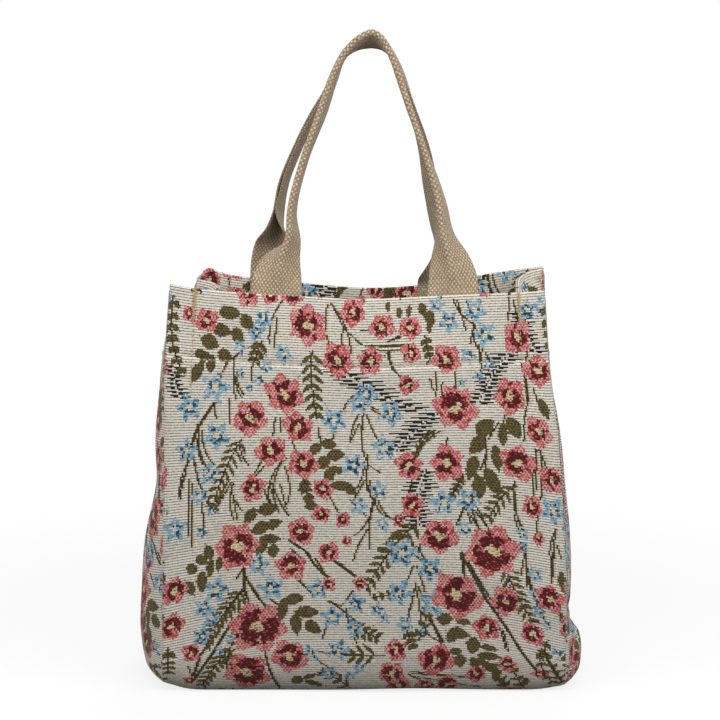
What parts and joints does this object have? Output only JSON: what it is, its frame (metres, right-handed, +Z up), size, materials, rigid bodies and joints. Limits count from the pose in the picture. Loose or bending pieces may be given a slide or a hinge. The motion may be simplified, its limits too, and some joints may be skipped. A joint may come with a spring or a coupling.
{
  "type": "tote bag",
  "caption": "Boxy open tote bag of flowered jacquard cloth with side gussets, a turned-in hem and folded webbing handles, for carrying things by hand.",
  "frame": {"origin": "middle of the base, on the floor", "axes": "+Z up from the base to the handles, +X to the right of the front, -Y out of the front"},
  "size_m": [0.3482, 0.1328, 0.5098],
  "materials": {
    "jacquard": "ribbed jacquard weave",
    "webbing": "coarse cotton webbing"
  },
  "bodies": {
    "root": {"body_panel": "jacquard", "left_gusset": "jacquard", "right_gusset": "jacquard", "front_handle": "webbing", "back_handle": "webbing"}
  },
  "joints": []
}
